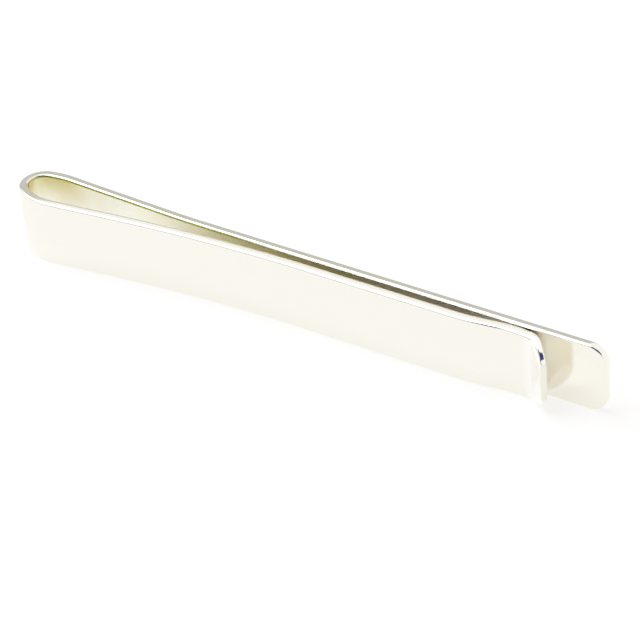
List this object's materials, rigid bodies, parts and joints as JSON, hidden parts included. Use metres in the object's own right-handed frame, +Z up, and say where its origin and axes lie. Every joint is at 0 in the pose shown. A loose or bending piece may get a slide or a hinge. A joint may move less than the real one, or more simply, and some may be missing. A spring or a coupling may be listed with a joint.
{
  "type": "tie clip",
  "caption": "Slide-on tie clip: a polished metal strip folded into a teardrop spring loop, with a long straight bar and a shorter bowed arm that ends in a flared lip.",
  "frame": {"origin": "middle of the footprint, on the surface that the clip stands on with its long edge down", "axes": "+X along the clip from the loop to the open end, +Y from the short arm towards the long bar, +Z up the width of the strip"},
  "size_m": [0.055, 0.0048, 0.006],
  "materials": {
    "polished_silver": "mirror-polished warm white silver with softened edges"
  },
  "bodies": {
    "long_bar": {"long_bar": "polished_silver", "bar_neck": "polished_silver"},
    "spring_loop": {"spring_loop": "polished_silver"},
    "short_arm": {"arm_neck": "polished_silver", "short_arm": "polished_silver", "pinch_bow": "polished_silver", "flared_lip": "polished_silver"}
  },
  "joints": [
    {"name": "bar_flex", "type": "hinge", "parent": "long_bar", "child": "spring_loop", "pos_m": [-0.02078, 0.00223, 0.003], "axis": [0, 0, -1], "range_deg": [0, 3.5], "stiffness_Nm_per_rad": 0.9},
    {"name": "arm_flex", "type": "hinge", "parent": "spring_loop", "child": "short_arm", "pos_m": [-0.02049, -0.002, 0.003], "axis": [0, 0, -1], "range_deg": [0, 3.5], "stiffness_Nm_per_rad": 0.9}
  ],
  "couplings": [
    {"joint": "arm_flex", "follows": "bar_flex", "ratio": 1}
  ]
}
